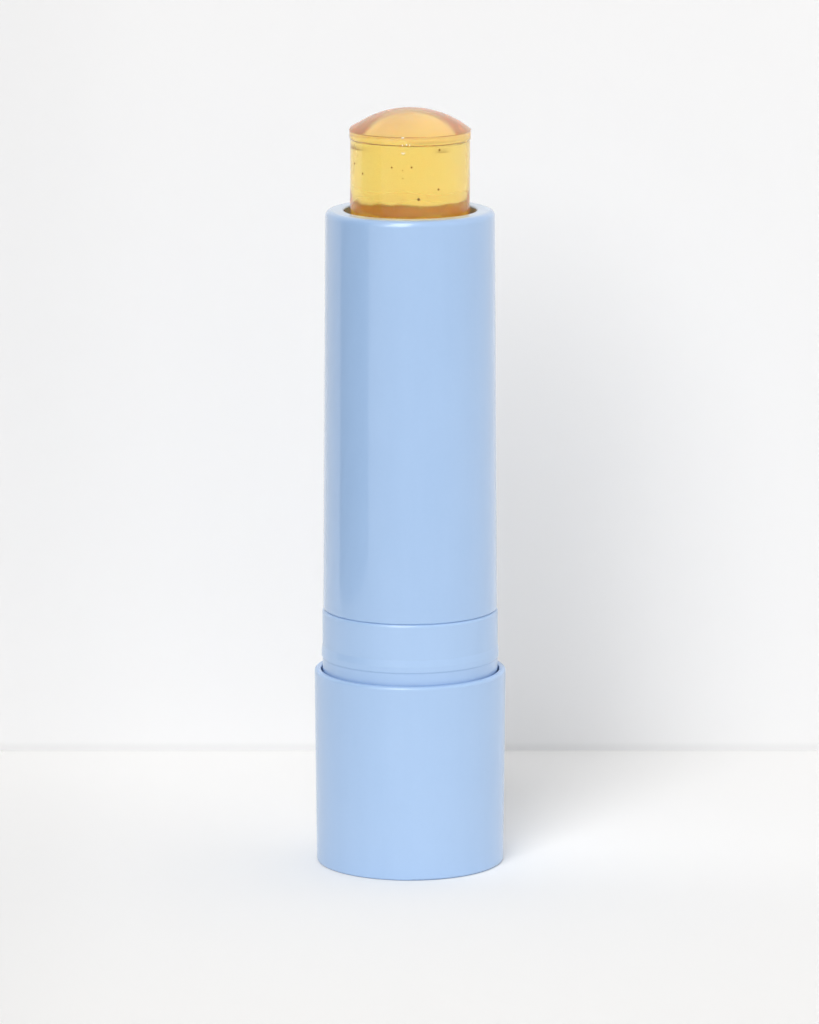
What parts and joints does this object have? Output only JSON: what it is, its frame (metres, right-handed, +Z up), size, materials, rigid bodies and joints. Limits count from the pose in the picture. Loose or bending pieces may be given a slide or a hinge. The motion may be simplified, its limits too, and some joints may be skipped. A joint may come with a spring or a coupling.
{
  "type": "twist-up lip balm",
  "caption": "Slim round twist-up lip balm with its cap off: turning the barrel on its wider base lifts a clear gel balm out of the mouth.",
  "frame": {"origin": "centre of the circle that the base stands on, on the axis that the barrel turns about", "axes": "+Z up along that axis, towards the mouth and the balm; +X to the right and +Y away in the pictured view"},
  "size_m": [0.0196, 0.0196, 0.0777],
  "materials": {
    "balm_gel": "clear glossy gel",
    "natural_plastic": "satin",
    "blue_plastic": "satin gloss"
  },
  "bodies": {
    "base": {"base": "blue_plastic", "guide_tube": "natural_plastic"},
    "barrel": {"barrel": "blue_plastic", "collar": "blue_plastic", "spiral_sleeve": "natural_plastic"},
    "carrier": {"cup": "natural_plastic", "balm": "balm_gel"}
  },
  "joints": [
    {"name": "twist", "type": "hinge", "parent": "base", "child": "barrel", "pos_m": [0, 0, 0.0201], "axis": [0, 0, 1], "range_deg": [-292, 255]},
    {"name": "balm_lift", "type": "slide", "parent": "base", "child": "carrier", "axis": [0, 0, 1], "range_m": [-0.01135, 0.013]}
  ],
  "couplings": [
    {"joint": "balm_lift", "follows": "twist", "m_per_rad": -0.0025465}
  ]
}
